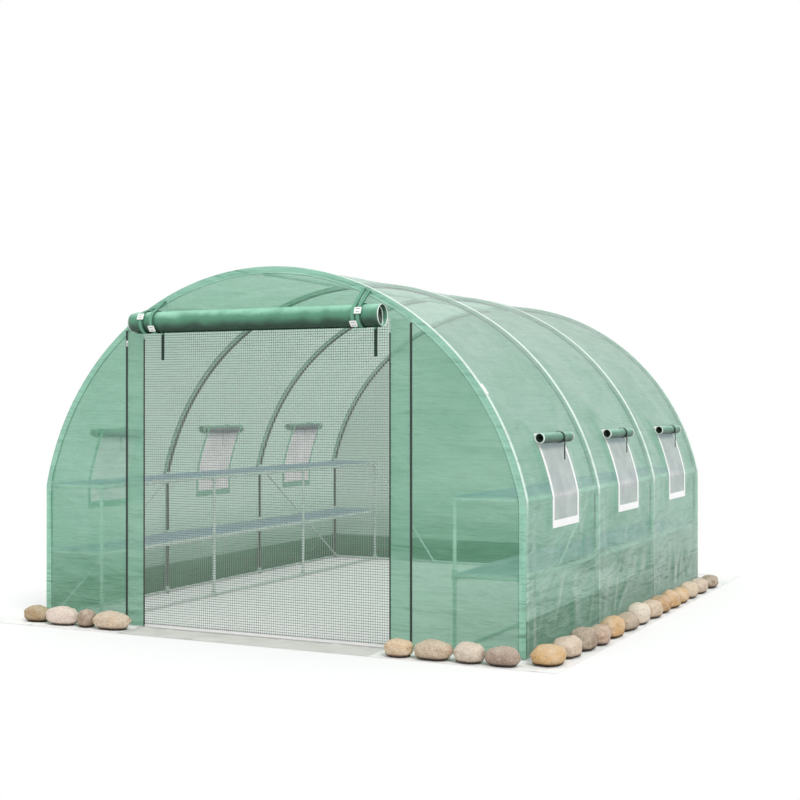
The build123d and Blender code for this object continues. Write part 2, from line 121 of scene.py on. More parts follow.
class Graph:
    """Short names for making the nodes of a material or a world."""

    def __init__(self, owner, kind="Material"):
        owner.use_nodes = True
        self.owner = owner
        self.tree = owner.node_tree
        self.tree.nodes.clear()
        self.out = self.tree.nodes.new("ShaderNodeOutput" + kind)

    @property
    def place(self):
        return self.node("TexCoord").outputs["Object"]

    def node(self, kind, inputs=(), **settings):
        n = self.tree.nodes.new("ShaderNode" + kind)
        for key, value in settings.items():
            setattr(n, key, value)
        for key, value in dict(inputs).items():
            if hasattr(value, "is_output"):
                self.tree.links.new(value, n.inputs[key])
            else:
                n.inputs[key].default_value = value
        return n

    def sheet(self):
        """Place along and up the sheet, and a third measure."""
        return self.split(self.node("Attribute", attribute_name="sheet").outputs["Vector"])

    def math(self, operation, a, b=0.0, c=0.0):
        return self.node("Math", {0: a, 1: b, 2: c}, operation=operation).outputs[0]

    def times(self, a, b):
        return self.math("MULTIPLY", a, b)

    def plus(self, a, b):
        return self.math("ADD", a, b)

    def off(self, a):
        """1 minus a value."""
        return self.math("SUBTRACT", 1.0, a)

    def gap(self, a, b):
        return self.math("ABSOLUTE", self.math("SUBTRACT", a, b))

    def nearest(self, value, places):
        """Distance from a value to the nearest of some places."""
        near = self.gap(value, places[0])
        for at in places[1:]:
            near = self.math("MINIMUM", near, self.gap(value, at))
        return near

    def stretch(self, scale, where=None, turn=0.0):
        values = {"Vector": where or self.place, "Rotation": (0, 0, turn), "Scale": scale}
        return self.node("Mapping", values).outputs[0]

    def noise(self, where, scale, detail=2.0, roughness=0.5, distortion=0.0):
        values = {"Vector": where, "Scale": scale, "Detail": detail, "Roughness": roughness,
                  "Distortion": distortion}
        return self.node("TexNoise", values).outputs["Fac"]

    def band(self, value, low, high):
        """0 at low and 1 at high, smoothly."""
        values = {"Value": value, "From Min": low, "From Max": high}
        return self.node("MapRange", values, interpolation_type="SMOOTHSTEP", clamp=True).outputs[0]

    def line(self, value, at, half, soft):
        """1 within half of a place and 0 past its soft edge."""
        return self.off(self.band(self.gap(value, at), half, half + soft))

    def threads(self, value, pitch, share):
        """1 on thin lines a pitch apart."""
        cell = self.gap(self.math("FRACT", self.times(value, 1 / pitch)), 0.5)
        return self.band(cell, 0.5 - share, 0.5 - share / 2)

    def weave(self, a, b, pitch, share):
        return self.math("MAXIMUM", self.threads(a, pitch, share), self.threads(b, pitch, share))

    def colour(self, share, a, b, **settings):
        return self.node("Mix", {0: share, 6: a, 7: b}, data_type="RGBA", **settings).outputs[2]

    def over(self, under, share, part, tint):
        """A colour with part of another laid over a share of it."""
        return self.colour(self.times(share, part), under, tint)

    def split(self, where=None):
        return self.node("SeparateXYZ", {0: where or self.place}).outputs

    def facing_up(self):
        return self.split(self.node("NewGeometry").outputs["Normal"])[2]

    def flat(self, a, b):
        return self.node("CombineXYZ", {0: a, 1: b}).outputs[0]

    def bump(self, height, distance, strength=1.0):
        values = {"Height": height, "Distance": distance, "Strength": strength}
        return self.node("Bump", values).outputs[0]

    def mix(self, share, a, b):
        return self.node("MixShader", {0: share, 1: a, 2: b}).outputs[0]

    def surface(self, shader):
        self.tree.links.new(shader, self.out.inputs["Surface"])
        return self.owner

    def skin(self, colour, roughness, specular, normal, metallic=0.0):
        values = {"Base Color": colour, "Roughness": roughness, "Metallic": metallic,
                  "Specular IOR Level": specular, "Normal": normal}
        return self.node("BsdfPrincipled", values).outputs[0]

    def solid(self, *skin):
        return self.surface(self.skin(*skin))

    def cloth(self, colour, roughness, specular, normal, lit_through, opacity, clear):
        """Thin cloth or film: a skin, the light that passes through it, and what is seen through it."""
        skin = self.skin(colour, roughness, specular, normal)
        through = self.node("BsdfTranslucent", {"Color": colour, "Normal": normal}).outputs[0]
        open_part = self.node("BsdfTransparent", {"Color": clear}).outputs[0]
        return self.surface(self.mix(opacity, open_part, self.mix(lit_through, skin, through)))

    def seen_ray(self):
        """1 for a ray from the camera, off a gloss or through glass."""
        path = self.node("LightPath").outputs
        direct = self.math("MAXIMUM", path["Is Camera Ray"], path["Is Glossy Ray"])
        return self.math("MAXIMUM", direct, path["Is Transmission Ray"])


def material(name):
    return Graph(bpy.data.materials.new(name))


# ------ camera, light, floor
def make_camera():
    camera = bpy.data.objects.new("camera", bpy.data.cameras.new("camera"))
    scene.collection.objects.link(camera)
    camera.location = (3.866, -8.012, 1.264)
    camera.rotation_euler = (math.radians(90) + 0.002, 0, math.radians(26.0))
    camera.data.lens = 61.14
    camera.data.clip_start, camera.data.clip_end = 0.05, 200
    scene.camera = camera
    scene.view_settings.view_transform = "Standard"


def make_light():
    """A soft white sky, plain white where it is seen, and a weak sun from the front right."""
    world = bpy.data.worlds.new("world")
    scene.world = world
    g = Graph(world, "World")
    sky, backdrop = [g.node("Background", {"Color": (1, 1, 1, 1), "Strength": strength}).outputs[0]
                     for strength in (0.90, 1.0)]
    g.surface(g.mix(g.seen_ray(), sky, backdrop))
    sun = bpy.data.objects.new("key", bpy.data.lights.new("key", "SUN"))
    sun.data.energy = 1.25
    sun.data.angle = math.radians(24)
    sun.rotation_euler = (math.radians(44), 0, math.radians(52))
    scene.collection.objects.link(sun)


def make_floor():
    """A pale floor that keeps the object's shadow close by and turns white further out."""
    bpy.ops.mesh.primitive_plane_add(size=160, location=(0, 0, -0.0005))
    floor = bpy.context.object
    floor.name = "floor"
    g = material("floor")
    from_camera = g.node("LightPath").outputs["Is Camera Ray"]
    tone = g.colour(from_camera, (0.70, 0.70, 0.70, 1), (0.95, 0.95, 0.945, 1))
    lit = g.node("BsdfDiffuse", {"Color": tone}).outputs[0]
    white = g.node("Emission").outputs[0]
    away = g.node("VectorMath", {0: g.place}, operation="LENGTH").outputs["Value"]
    fade = g.math("MULTIPLY_ADD", g.band(away, 2.3, 4.2), 0.60, 0.40)
    floor.data.materials.append(g.surface(g.mix(g.times(fade, g.seen_ray()), lit, white)))


make_camera()
make_light()
make_floor()


# ------ materials
HOOP_HIGHLIGHT = lin(228, 250, 240)
SEAM_TINT = lin(166, 220, 198)
# dark line: the seam's stitches, and painted shade along each side of a hoop
STITCH_AND_SHADE_LINE = lin(58, 122, 98)
DEEP_FILM = lin(104, 160, 130)
FOOT_BAND = lin(84, 142, 112)
FILM_SHEEN = lin(246, 252, 249)
ROLL_INSIDE_SHADE = lin(24, 44, 34)
FOOT = 0.19             # height of the darker band along the foot of the film
LIT_THROUGH = 0.45      # share of the film's light that comes through it
TAPE_SIDE, TAPE_FOOT, TAPE_HEAD = 0.0245, 0.0395, 0.0115


def under_tape(g, along, up):
    """1 where the cover is hidden behind a window's tape."""
    from_foot = g.math("MINIMUM", up, g.math("SUBTRACT", TOTAL, up))
    inside = g.math("LESS_THAN", g.nearest(along, BAYS), WIN_HALF + TAPE_SIDE)
    inside = g.times(inside, g.math("GREATER_THAN", from_foot, SILL_S - TAPE_FOOT))
    return g.times(inside, g.math("LESS_THAN", from_foot, HEAD_S + TAPE_HEAD))


def film_pattern(g, along, up):
    """Patches of woven film, its streaks, its slanting creases and its grid of threads; the creases also put
    painted shade and highlight into the colour.
    """
    where = g.flat(along, up)
    cloud = g.noise(where, 1.7, 3.0, 0.55, 0.3)
    streak = g.noise(g.stretch((1.2, 70.0, 1.0), where), 1.0, 3.0, 0.6)
    crease_height_and_shade = g.noise(g.stretch((1.0, 3.4, 1.0), where, 0.62), 2.4, 3.0, 0.5, 0.7)
    cross = g.noise(g.stretch((1.0, 3.8, 1.0), where, -0.75), 3.1, 3.0, 0.5, 0.6)
    crease_height_and_shade = g.plus(g.times(crease_height_and_shade, 0.6), g.times(cross, 0.4))
    # the creases' share of this mask is painted crease shade and highlight; the patches and streaks are the
    # film's own tone
    tone = g.plus(g.times(cloud, 0.42), g.plus(g.times(streak, 0.16), g.times(crease_height_and_shade, 0.42)))
    return g.band(tone, 0.39, 0.61), streak, crease_height_and_shade, g.weave(along, up, 0.011, 0.16)


def over_hoops(g, along, colour, solid, pale):
    """Film tight over the hoops: a painted highlight on the tube, a paler painted band over the tube that
    hides its shade, a painted shade line on each side, and fainter on the legs.
    """
    near = g.nearest(along, HOOPS)
    arch = g.math("MULTIPLY_ADD", g.band(g.split()[2], 0.70, 0.80), 0.55, 0.45)
    # painted highlight along the hoop under the film
    highlight_mask = g.times(g.off(g.band(near, 0.0080, 0.0125)), arch)
    # paler band over the tube: painted light that hides the tube's shade seen through the film
    beside = g.off(g.band(near, 0.020, 0.032))
    # painted shade line along each side of the tube
    side = g.times(g.band(near, 0.0115, 0.014), g.off(g.band(near, 0.014, 0.020)))
    colour = g.over(colour, beside, 0.25, pale)
    colour = g.over(colour, side, 0.20, STITCH_AND_SHADE_LINE)
    colour = g.colour(highlight_mask, colour, HOOP_HIGHLIGHT)
    covered = g.times(beside, arch)
    return colour, g.math("MAXIMUM", solid, g.times(covered, 0.95)), g.times(g.off(covered), LIT_THROUGH)


def along_seam(g, edge, colour, solid):
    """Pale doubled hem along the outer edge of an end wall, and its stitches."""
    hem = g.off(g.band(edge, 0.034, 0.037))
    stitch = g.line(edge, 0.0385, 0.0012, 0.0016)
    colour = g.over(colour, hem, 0.8, SEAM_TINT)
    colour = g.over(colour, stitch, 0.7, STITCH_AND_SHADE_LINE)
    solid = g.plus(solid, g.plus(g.times(hem, 0.22), g.times(stitch, 0.2)))
    return colour, solid, g.times(g.off(hem), LIT_THROUGH)


def film_material(name, body, pale, opacity, hoops=False, seam=False, foot=False, gloss=0.36, low_share=0.20):
    """Woven film, less clear by low_share towards the ground."""
    g = material(name)
    along, up, edge = g.sheet()
    tone, streak, crease_height_and_shade, grid = film_pattern(g, along, up)
    # body to pale by the film's own patches and streaks, and by painted shade and highlight along the creases
    colour = g.over(body, tone, 0.85, pale)
    colour = g.over(colour, grid, 0.12, pale)
    solid = g.math("MULTIPLY_ADD", tone, 0.10, opacity - 0.05)
    solid = g.plus(solid, g.times(grid, 0.05))
    lit_through = LIT_THROUGH
    if hoops:
        colour, solid, lit_through = over_hoops(g, along, colour, solid, pale)
    if seam:
        colour, solid, lit_through = along_seam(g, edge, colour, solid)
    z = g.split()[2]
    near_foot = g.off(g.band(z, 0.16, 0.62))
    colour = g.over(colour, near_foot, 1.5 * low_share, DEEP_FILM)
    solid = g.plus(solid, g.times(near_foot, low_share))
    if foot:
        low = g.off(g.band(z, FOOT - 0.006, FOOT + 0.006))
        colour = g.over(colour, low, 0.85, FOOT_BAND)
        solid = g.plus(solid, g.times(low, 0.20))
    solid = g.math("MINIMUM", solid, 0.985)
    # painted sheen: the colour turns whiter towards grazing angles, standing in for reflected light
    grazing = g.node("LayerWeight", {"Blend": 0.5}).outputs["Facing"]
    colour = g.over(colour, g.band(grazing, 0.55, 0.97), 0.82, FILM_SHEEN)
    if hoops:
        solid = g.times(solid, g.off(under_tape(g, along, up)))
    height = g.plus(crease_height_and_shade, g.plus(g.times(streak, 0.06), g.times(grid, 0.012)))
    return g.cloth(colour, gloss, 0.5, g.bump(height, 0.09, 0.9), lit_through, solid, (0.78, 0.95, 0.87, 1))


def rolled_material(name, dark, body, light, rim, hem):
    """Rolled-up film with painted light: lighter on top and darker underneath by which way it faces, painted
    shade inside its inner turns, and a pale cut edge at the ends of its outer turn.
    """
    g = material(name)
    _, inward, edge = g.sheet()
    soft = g.noise(g.stretch((3.0, 3.0, 3.0)), 3.0, 3.0, 0.5, 0.6)
    fine = g.noise(g.stretch((40.0, 400.0, 400.0)), 1.0, 2.0)
    # painted light and shade: the colour goes from dark to light as the surface turns up, with soft patches
    facing = g.plus(g.facing_up(), g.times(g.math("SUBTRACT", soft, 0.5), 0.9))
    colour = g.colour(g.band(facing, -0.75, 0.25), dark, body)
    colour = g.colour(g.band(facing, 0.2, 1.05), colour, light)
    # painted shade inside the inner turns and at their ends
    inside = g.band(inward, 0.36 * rim, 0.40 * rim)
    colour = g.over(colour, inside, 0.75, ROLL_INSIDE_SHADE)
    end = g.off(g.band(edge, 0.8 * hem, hem))
    colour = g.over(colour, end, inside, ROLL_INSIDE_SHADE)
    colour = g.over(colour, end, g.off(inside), lin(230, 238, 233))
    normal = g.bump(g.plus(soft, g.times(fine, 0.03)), 0.02, 0.6)
    return g.solid(colour, 0.42, 0.45, normal)


def tube_material(name, colour, roughness, metallic=0.0, lit_outside_tint=None):
    """Galvanised tube; where a tint is given, the half that faces out of the tunnel takes it as painted
    light.
    """
    g = material(name)
    patch = g.noise(g.place, 9.0, 4.0, 0.6)
    drawn = g.noise(g.place, 60.0, 3.0)
    rough = g.math("MULTIPLY_ADD", patch, 0.2, roughness - 0.1)
    spread = g.band(g.plus(patch, g.times(drawn, 0.3)), 0.45, 0.85)
    tint = g.colour(spread, shade(colour, 0.9), shade(colour, 1.06))
    # painted light on the half that faces out of the tunnel, painted shade on the inner half
    if lit_outside_tint:
        x, _, z = g.split()
        away = g.node("CombineXYZ", {0: x, 2: g.math("SUBTRACT", z, ARCH_Z)}).outputs[0]
        away = g.node("VectorMath", {0: away}, operation="NORMALIZE").outputs[0]
        normal = g.node("NewGeometry").outputs["Normal"]
        facing = g.node("VectorMath", {0: away, 1: normal}, operation="DOT_PRODUCT").outputs["Value"]
        tint = g.colour(g.band(facing, -0.25, 0.15), tint, lit_outside_tint)
    return g.solid(tint, rough, 0.8, g.bump(drawn, 0.0006, 0.3), metallic)


def plain_material(name, colour, roughness, grain, depth=0.0006, spread=0.16):
    g = material(name)
    speck = g.noise(g.place, grain, 4.0, 0.65)
    tint = g.colour(g.band(speck, 0.3, 0.7), shade(colour, 1 - spread), colour)
    return g.solid(tint, roughness, 0.4, g.bump(speck, depth, 0.6))


def tape_material(name, colour):
    """Woven tape, a little soiled in patches."""
    g = material(name)
    _, y, z = g.split()
    weave = g.weave(y, z, 0.0024, 0.3)
    soil = g.noise(g.place, 14.0, 4.0, 0.6)
    tint = g.colour(g.band(soil, 0.35, 0.75), colour, shade(colour, 0.94))
    tint = g.over(tint, weave, 0.16, shade(colour, 0.78))
    return g.solid(tint, 0.72, 0.3, g.bump(weave, 0.0005, 0.7))


def strap_material(name, colour, dark, low, edges):
    """Webbing with a painted shadow along its right edge, and painted shade below a height where its loose
    ends hang.
    """
    g = material(name)
    x, _, z = g.split()
    rib = g.threads(x, 0.0032, 0.35)
    tint = g.over(colour, rib, 0.35, shade(colour, 0.7))
    for edge in edges:
        # painted shadow along the right edge of each strap
        tint = g.over(tint, g.line(x, edge - 0.003, 0.0025, 0.0015), 0.75, dark)
    # painted shade below the height where the loose ends hang
    tint = g.colour(g.off(g.band(z, low - 0.01, low)), tint, dark)
    return g.solid(tint, 0.7, 0.3, g.bump(rib, 0.0007, 0.8))


def zip_material(name):
    g = material(name)
    teeth = g.threads(g.split()[2], 0.005, 0.45)
    tint = g.colour(teeth, lin(20, 23, 22), lin(56, 62, 60))
    return g.solid(tint, 0.5, 0.4, g.bump(teeth, 0.001))


def screen_material(name):
    """Fine insect mesh, with painted shade of the rolled flap just below it."""
    g = material(name)
    along, up, below = g.sheet()
    weave = g.weave(along, up, 0.0035, 0.35)
    soil = g.noise(g.flat(along, up), 7.0, 3.0, 0.6)
    tint = g.colour(g.band(soil, 0.3, 0.75), lin(238, 237, 237), lin(218, 217, 220))
    # painted shade just below the rolled flap
    tint = g.over(tint, g.off(g.band(below, 0.06, 0.09)), 0.5, lin(160, 170, 190))
    opacity = g.math("MULTIPLY_ADD", weave, 0.14, 0.74)
    return g.cloth(tint, 0.8, 0.2, g.bump(weave, 0.0006, 0.8), 0.56, opacity, (0.97, 0.99, 0.98, 1))


def thread_material(name, one, other):
    """Plain thread whose tint depends on the way it runs."""
    g = material(name)
    way = g.sheet()[2]
    soil = g.noise(g.place, 5.0, 3.0, 0.6)
    tint = g.colour(way, one, other)
    tint = g.over(tint, g.band(soil, 0.35, 0.75), 0.25, shade(one, 0.7))
    return g.solid(tint, 0.6, 0.4, g.bump(g.noise(g.place, 900.0), 0.0003, 0.5))


def stone_material(name):
    """River cobble: its own tint, mineral specks, veins, a painted highlight on its top and a painted contact
    shadow at its foot.
    """
    g = material(name)
    tint = g.node("Attribute", attribute_name="tint").outputs["Color"]
    broad = g.noise(g.place, 14.0, 4.0, 0.6, 0.4)
    speck = g.noise(g.place, 105.0, 4.0, 0.75)
    pit = g.noise(g.place, 60.0, 5.0, 0.7)
    crack = g.noise(g.stretch((1.0, 1.0, 3.0)), 38.0, 4.0, 0.7, 1.2)
    dark = g.colour(1.0, tint, (0.55, 0.52, 0.50, 1), blend_type="MULTIPLY")
    light = g.colour(0.55, tint, lin(246, 234, 216))
    colour = g.colour(g.band(broad, 0.38, 0.68), tint, light)
    colour = g.over(colour, g.band(speck, 0.54, 0.62), 0.8, dark)
    colour = g.over(colour, g.off(g.band(speck, 0.36, 0.44)), 0.6, light)
    colour = g.over(colour, g.line(crack, 0.5, 0.012, 0.02), 0.5, dark)
    # painted light: paler where the surface faces up
    colour = g.over(colour, g.band(g.facing_up(), 0.1, 0.9), 0.35, light)
    z = g.split()[2]
    # painted contact shadow at the foot, darkest just above the ground
    colour = g.over(colour, g.off(g.band(z, 0.006, 0.038)), 0.65, dark)
    colour = g.over(colour, g.off(g.band(z, 0.011, 0.023)), 0.9, lin(34, 27, 22))
    height = g.plus(pit, g.plus(g.times(speck, 0.4), g.times(crack, 0.7)))
    return g.solid(colour, 0.85, 0.25, g.bump(height, 0.012))


def ground_material(name, colour):
    """Pale woven sheet on the ground, dusty in patches, with a painted contact shadow along the foot of the
    film.
    """
    g = material(name)
    along, up, edge = g.sheet()
    dust = g.noise(g.flat(along, up), 5.0, 4.0, 0.6)
    weave = g.weave(along, up, 0.006, 0.25)
    tint = g.colour(g.band(dust, 0.42, 0.78), colour, shade(colour, 0.82))
    tint = g.over(tint, weave, 0.12, shade(colour, 0.75))
    tint = g.over(tint, g.off(g.band(edge, 0.0, 0.005)), 0.1, shade(colour, 0.35))
    # painted contact shadow along the foot of the film
    tint = g.over(tint, g.band(edge, 0.205, 0.232), 0.62, shade(colour, 0.36))
    return g.solid(tint, 0.75, 0.25, g.bump(weave, 0.0006, 0.6))


# painted light: the tint of the hoops' outward half
LIT_STEEL_OUTSIDE = lin(214, 240, 228)
wall_film = film_material("wall_film", lin(132, 184, 156), lin(176, 215, 194), 0.48, seam=True)
rear_film = film_material("rear_film", lin(122, 170, 146), lin(156, 196, 174), 0.60, foot=True)
cover_film = film_material("cover_film", lin(138, 190, 166), lin(184, 222, 206), 0.56, hoops=True, foot=True,
                           gloss=0.3, low_share=0.32)
jamb_film = film_material("jamb_film", lin(144, 194, 170), lin(174, 214, 192), 0.80, low_share=0.06)
# the rolls' dark and light colours are painted shade underneath and painted light on top
roll_film = rolled_material("roll_film", lin(38, 72, 56), lin(84, 142, 114), lin(156, 214, 188), 0.9, 0.006)
flap_film = rolled_material("flap_film", lin(30, 66, 52), lin(66, 124, 100), lin(136, 190, 166), 0.4, 0.018)
# one galvanised steel in painted shade and light: the hoops darker, the front hoop lighter, the rails and
# braces near white
hoop_steel_shaded_inside = tube_material("hoop_steel_shaded_inside", lin(112, 124, 119), 0.42, 0.2, LIT_STEEL_OUTSIDE)
front_steel_lit = tube_material("front_steel_lit", lin(168, 212, 192), 0.42, 0.0, LIT_STEEL_OUTSIDE)
rail_steel_lit = tube_material("rail_steel_lit", lin(250, 255, 253), 0.3)
brace_steel_lit = tube_material("brace_steel_lit", lin(255, 255, 255), 0.3)
zinc = tube_material("zinc", lin(232, 240, 237), 0.36)
white_tape = tape_material("white_tape", lin(255, 255, 255))
white_plastic = plain_material("white_plastic", lin(253, 253, 252), 0.3, 40.0, 0.0002, 0.04)
black_zip = zip_material("black_zip")
black_cord = plain_material("black_cord", lin(24, 26, 26), 0.7, 300.0)
screen_cloth = screen_material("screen_cloth")
door_thread = thread_material("door_thread", lin(160, 160, 154), lin(104, 106, 100))
shelf_thread = thread_material("shelf_thread", lin(212, 224, 236), lin(184, 202, 224))
lacing_cord = thread_material("lacing_cord", lin(246, 249, 252), lin(230, 234, 240))
cobble_stone = stone_material("cobble_stone")
skirt_cloth = ground_material("skirt_cloth", lin(254, 254, 252))
sill_cloth = ground_material("sill_cloth", lin(224, 222, 217))


# ------ mesh helpers
COVER_STEP, WALL_STEP, GROUND_STEP = 0.0185, 0.017, 0.019   # about the size of a cell of their grids


def add(name, mesh, material):
    """Put a mesh into the scene as a piece."""
    mesh.materials.append(material)
    o = bpy.data.objects.new(name, mesh)
    scene.collection.objects.link(o)
    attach(o, "root")
    return o


def make(name, points, faces, material, smooth=True, sheet=None, tint=None, closed=False):
    """A piece from points and faces, with its points' places on the sheet or their tint."""
    mesh = bpy.data.meshes.new(name)
    mesh.from_pydata(points.tolist(), [], faces.tolist())
    mesh.update()
    if closed:
        b = bmesh.new()
        b.from_mesh(mesh)
        bmesh.ops.recalc_face_normals(b, faces=b.faces)
        b.to_mesh(mesh)
        b.free()
    mesh.polygons.foreach_set("use_smooth", [smooth] * len(mesh.polygons))
    for attribute, kind, field, values in (("sheet", "FLOAT_VECTOR", "vector", sheet),
                                           ("tint", "FLOAT_COLOR", "color", tint)):
        if values is not None:
            data = mesh.attributes.new(attribute, kind, "POINT").data
            data.foreach_set(field, np.asarray(values, np.float32).ravel())
    return add(name, mesh, material)


def grid_faces(rows, columns, keep=None, wrap=False):
    across = columns if wrap else columns - 1
    i, j = lattice(np.arange(rows - 1), np.arange(across))
    if keep is not None:
        i, j = i[keep], j[keep]
    i, j = i.ravel(), j.ravel()
    k = (j + 1) % columns
    return np.stack([i * columns + j, i * columns + k, (i + 1) * columns + k, (i + 1) * columns + j], axis=1)


def surface(name, points, sheet, material, keep=None):
    """A piece from a grid of points, without the cells that are cut out."""
    rows, columns = points.shape[:2]
    faces = grid_faces(rows, columns, keep)
    used, index = np.unique(faces, return_inverse=True)
    flat, marks = points.reshape(-1, 3)[used], sheet.reshape(-1, 3)[used]
    return make(name, flat, index.reshape(faces.shape), material, sheet=marks)


def join(parts):
    """One list of points and one of faces from several."""
    first = np.cumsum([0] + [len(p) for p, _ in parts])
    return np.concatenate([p for p, _ in parts]), np.concatenate([f + n for (_, f), n in zip(parts, first)])


def spaced(marks, step):
    """Values from the first mark to the last that hit every mark, about a step apart."""
    out = []
    for a, b in zip(marks, marks[1:]):
        n = max(1, int(round((b - a) / step)))
        out += list(a + (b - a) * np.arange(n) / n)
    return np.array(out + [marks[-1]])


def step01(x):
    """0 below 0 and 1 above 1, smoothly."""
    x = np.clip(x, 0, 1)
    return x * x * (3 - 2 * x)


def folds(u, v, seed, count, span, length, width, depth, lean=None, spread=0.6):
    """Height of soft creases scattered over a sheet: each a ridge or furrow along a short line."""
    rng = np.random.default_rng(seed)
    height = np.zeros_like(u)
    for _ in range(count):
        cu, cv = rng.uniform(*span[0]), rng.uniform(*span[1])
        angle = rng.uniform(0, math.pi) if lean is None else lean + rng.normal(0, spread)
        long, wide = rng.uniform(*length), rng.uniform(*width)
        rise = rng.uniform(*depth) * rng.choice([-1, 1])
        bend = rng.uniform(-0.35, 0.35)
        du, dv, c, s = u - cu, v - cv, math.cos(angle), math.sin(angle)
        along = du * c + dv * s
        off = dv * c - du * s - bend * along * along / long
        height += rise * np.exp(-((off / wide) ** 2)) * np.exp(-((along / (0.5 * long)) ** 4))
    return height


def nearest(y, places):
    """Distance to the nearest of some places along the tunnel."""
    return np.min([np.abs(y - at) for at in places], axis=0)


def bay_share(y):
    """Share of the way from one hoop to the next."""
    return np.clip((y - HOOPS[0]) / BAY, 0, len(BAYS) - 0.0001) % 1


def solids_of(node):
    """Lowest and highest corner of each separate solid of a CAD node."""
    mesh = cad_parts[node].data
    points = np.array([v.co for v in mesh.vertices])
    index = np.unique(np.round(points, 5), axis=0, return_inverse=True)[1].ravel()
    parent = list(range(index.max() + 1))

    def root(a):
        while parent[a] != a:
            parent[a] = parent[parent[a]]
            a = parent[a]
        return a

    for p in mesh.polygons:
        first = root(index[p.vertices[0]])
        for v in p.vertices[1:]:
            parent[root(index[v])] = first
    group = np.array([root(i) for i in index])
    boxes = [(points[group == k].min(0), points[group == k].max(0)) for k in np.unique(group)]
    return sorted(boxes, key=lambda box: tuple(np.round(box[0], 3)))


# height below which the straps are painted in shade
STRAP_SHADE = 1.645
webbing = strap_material("webbing", lin(112, 172, 144), lin(34, 56, 48), STRAP_SHADE,
                         [high[0] for low, high in solids_of("roll_straps")])


# ------ the cover
BAY_SAG = 0.008         # how far the cover hangs in between two hoops


def give(s, y):
    """How far the cover is free to move in and out: 0 where it is held, 1 well away from that."""
    free = step01((nearest(y, HOOPS) - 0.012) / 0.16) * np.ones(np.broadcast(s, y).shape)
    for z, room in ((BASE_RAIL, 0.06), (SHELVES[0], 0.09), (SHELVES[1], 0.10)):
        for foot in (s_at(z), TOTAL - s_at(z)):
            free = free * (0.25 + 0.75 * step01(np.abs(s - foot) / room))
    for foot in (0, TOTAL):
        free = free * step01(np.abs(s - foot) / 0.05)
    for foot, head in ((SILL_S, HEAD_S), (TOTAL - HEAD_S, TOTAL - SILL_S)):
        out = np.maximum(nearest(y, BAYS) - WIN_HALF, np.maximum(foot - s, s - head))
        free = free * step01((out - 0.03) / 0.08)
    return free * step01((HALF_L - np.abs(y)) / 0.03)


def cover_sheet():
    """The film over the hoops, from foot to foot, with its six window openings."""
    s = spaced([0, SILL_S, HEAD_S, TOTAL - HEAD_S, TOTAL - SILL_S, TOTAL], COVER_STEP)
    marks = [-HALF_L + FILM, HALF_L - FILM]
    marks += [bay + half for bay in BAYS for half in (-WIN_HALF, WIN_HALF)]
    marks += [at + step for at in HOOPS for step in (-0.016, -0.009, 0, 0.009, 0.016)]
    y = spaced(sorted(m for m in marks if abs(m) <= HALF_L - FILM), COVER_STEP)
    S, Y = lattice(s, y)
    x, z, nx, nz = profile(S)
    bay = bay_share(Y)
    sag = -BAY_SAG * 4 * bay * (1 - bay)
    sides = (-HALF_L, HALF_L)
    d = sag + folds(S, Y, 11, 150, ((0, TOTAL), sides), (0.3, 1.0), (0.03, 0.09), (0.0015, 0.0045), 1.0, 0.9)
    for seed, leg, lean in ((12, (0, LEG), 0.9), (13, (TOTAL - LEG, TOTAL), 2.3)):
        d = d + folds(S, Y, seed, 80, (leg, sides), (0.2, 0.6), (0.02, 0.05), (0.0015, 0.004), lean, 0.5)
    d = np.clip(d, -0.012, 0.006) * give(S, Y)
    d = d + 0.0014 * np.exp(-((nearest(Y, HOOPS) / 0.011) ** 2))
    points = np.stack([x + nx * d, Y, z + nz * d], axis=-1)
    sheet = np.stack([Y, S, HALF_L - np.abs(Y)], axis=-1)
    mid_s, mid_y = lattice((s[:-1] + s[1:]) / 2, (y[:-1] + y[1:]) / 2)
    from_foot = np.minimum(mid_s, TOTAL - mid_s)
    cut = (from_foot > SILL_S) & (from_foot < HEAD_S) & (nearest(mid_y, BAYS) < WIN_HALF)
    o = surface("cover_sheet", points, sheet, cover_film, ~cut)
    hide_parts("cover")


cover_sheet()


# ------ end walls and jambs
def wall_sheet(name, node, left, right, seed, count=40, low=FILM, high=HEIGHT, outward=-1,
               depth=(0.001, 0.0042), lean=None, material=wall_film):
    """A sheet of an end wall, fitted under the arch, with creases that fade at its edges."""
    columns = max(2, int(round((right - left) / WALL_STEP))) + 1
    x = np.linspace(left, right, columns)
    arch = ARCH_Z + np.sqrt(np.maximum(RM**2 - x**2, 0))
    top = np.minimum(np.where(np.abs(x) < XM, arch, KINK_Z), high)
    rows = max(2, int(round((top.max() - low) / WALL_STEP))) + 1
    share, X = lattice(np.linspace(0, 1, rows), x)
    Z = low + share * (top - low)
    d = folds(X, Z, seed, count, ((left, right), (low, high)), (0.2, 0.7), (0.02, 0.06), depth, lean)
    room = np.minimum.reduce([X - left, right - X, Z - low, top - Z])
    d = d * step01(room / 0.05)
    points = np.stack([X, outward * (HALF_L - FILM / 2 + d), Z], axis=-1)
    edge = np.where(Z > KINK_Z, RM - np.hypot(X, Z - ARCH_Z), XM - np.abs(X))
    o = surface(name, points, np.stack([X, Z, edge], axis=-1), material)
    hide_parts(node)


wall_sheet("wall_left", "front_wall_left", -XM, ZIP_L, 21)
wall_sheet("wall_right", "front_wall_right", ZIP_R, XM, 22)
wall_sheet("wall_top", "front_wall_top", ZIP_L, ZIP_R, 23, 30, low=DOOR_TOP)
wall_sheet("wall_rear", "rear_wall", -XM, XM, 24, 120, outward=1, material=rear_film)
for jamb, left, right, seed in (("jamb_left", ZIP_L, MESH_L, 25), ("jamb_right", MESH_R, ZIP_R, 26)):
    wall_sheet(jamb, "door_jambs", left, right, seed, 26, high=DOOR_TOP, depth=(0.0008, 0.002),
               lean=math.pi / 2, material=jamb_film)


# ------ rolled-up door and window flaps
ROLL_CLOTH = 0.0015     # drawn thickness of the rolled film


